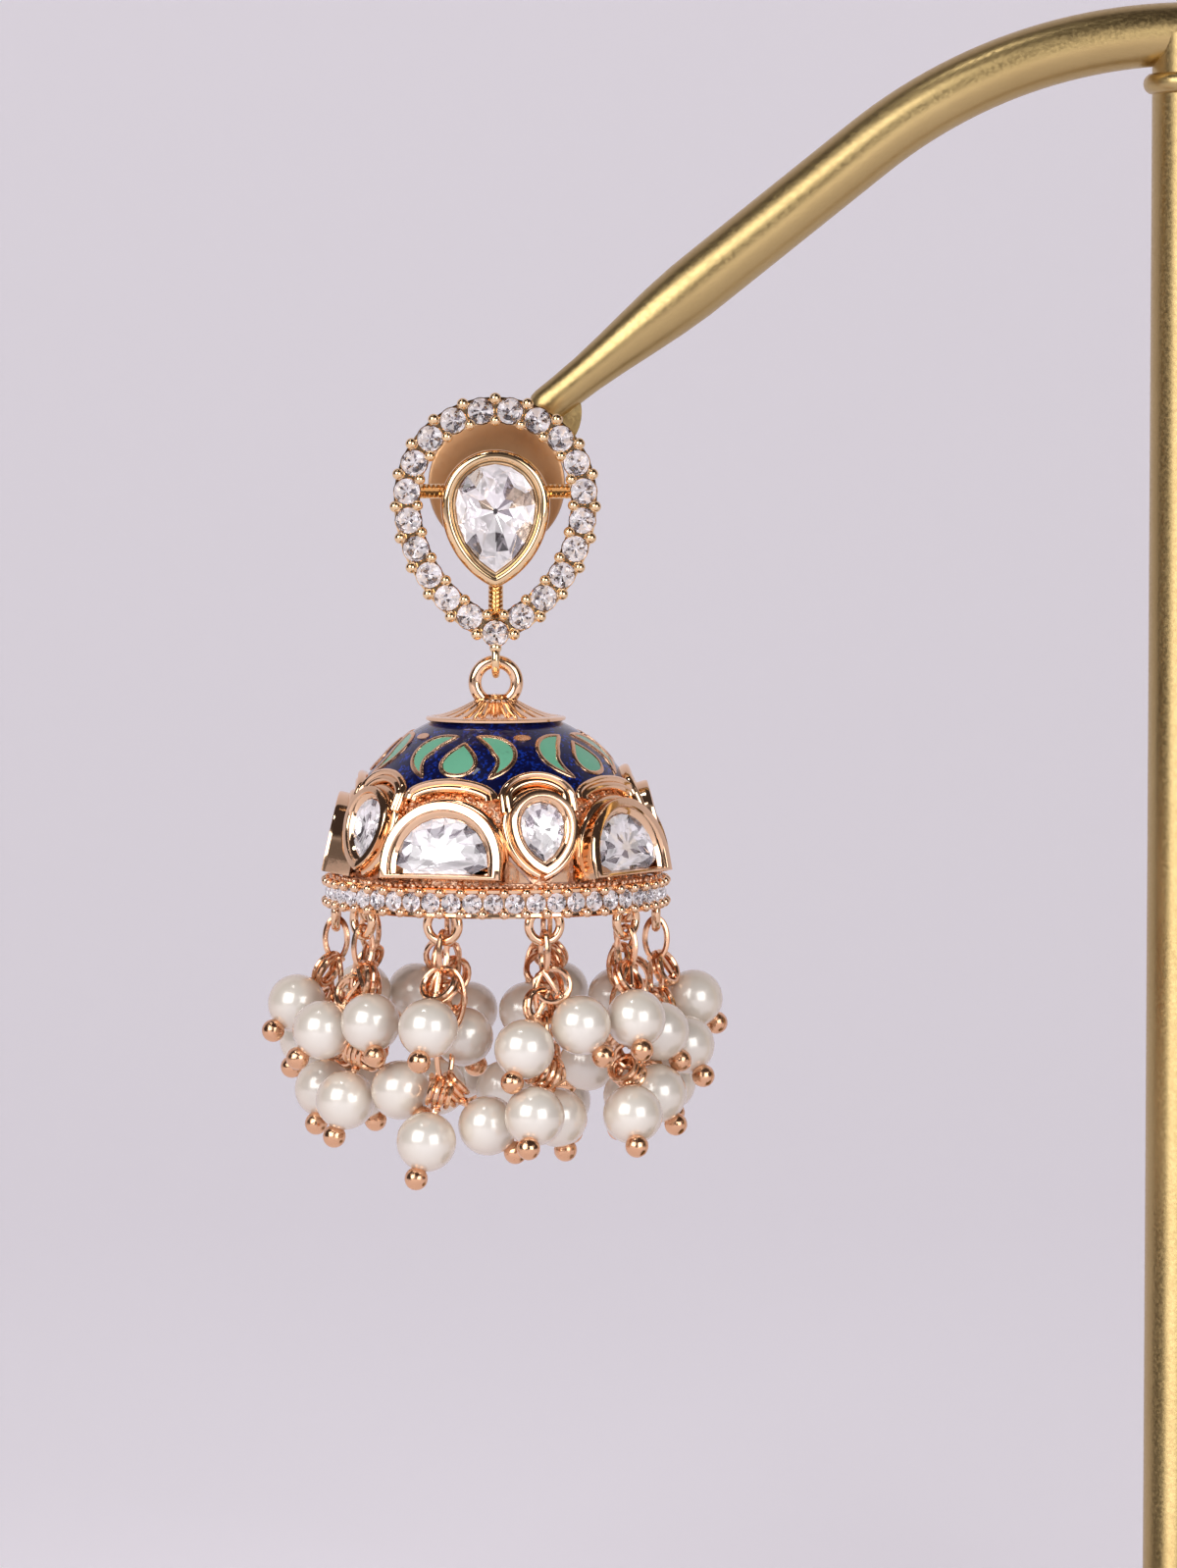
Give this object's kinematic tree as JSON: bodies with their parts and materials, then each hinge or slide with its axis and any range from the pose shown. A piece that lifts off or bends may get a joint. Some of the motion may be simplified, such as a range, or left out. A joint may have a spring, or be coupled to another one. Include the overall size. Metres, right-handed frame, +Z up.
{
  "type": "jhumka earring on a display stand",
  "caption": "Gold bell earring with blue enamel, half-moon and pear stones and pearl strands, hanging from a pear-shaped stud on the arm of a plain brass display stand.",
  "frame": {"origin": "centre of the display stand's foot, on the surface it stands on", "axes": "+Z up, the earring's front faces -Y, and the stand's arm reaches towards -X"},
  "size_m": [0.087, 0.048, 0.1189],
  "materials": {
    "stand_brass": "satin",
    "gold": "polished",
    "crystal": "polished",
    "blue_enamel": "polished",
    "pearl": "gloss"
  },
  "bodies": {
    "stand": {"display_stand": "stand_brass", "top_setting": "gold", "pear_stone": "crystal"},
    "bell": {"bell": "gold", "blue_enamel": "blue_enamel", "half_moon_stone_1": "crystal", "half_moon_stone_2": "crystal", "half_moon_stone_3": "crystal", "half_moon_stone_4": "crystal", "half_moon_stone_5": "crystal", "drop_stone_1": "crystal", "drop_stone_2": "crystal", "drop_stone_3": "crystal", "drop_stone_4": "crystal", "drop_stone_5": "crystal", "pearl_strand_01": "pearl", "pearl_strand_02": "pearl", "pearl_strand_03": "pearl", "pearl_strand_04": "pearl", "pearl_strand_05": "pearl", "pearl_strand_06": "pearl", "pearl_strand_07": "pearl", "pearl_strand_08": "pearl", "pearl_strand_09": "pearl", "pearl_strand_10": "pearl"}
  },
  "joints": [
    {"name": "bell_swing", "type": "hinge", "parent": "stand", "child": "bell", "pos_m": [-0.0475, -0.0046, 0.07316], "axis": [0, 1, 0], "range_deg": [-45, 45]}
  ]
}
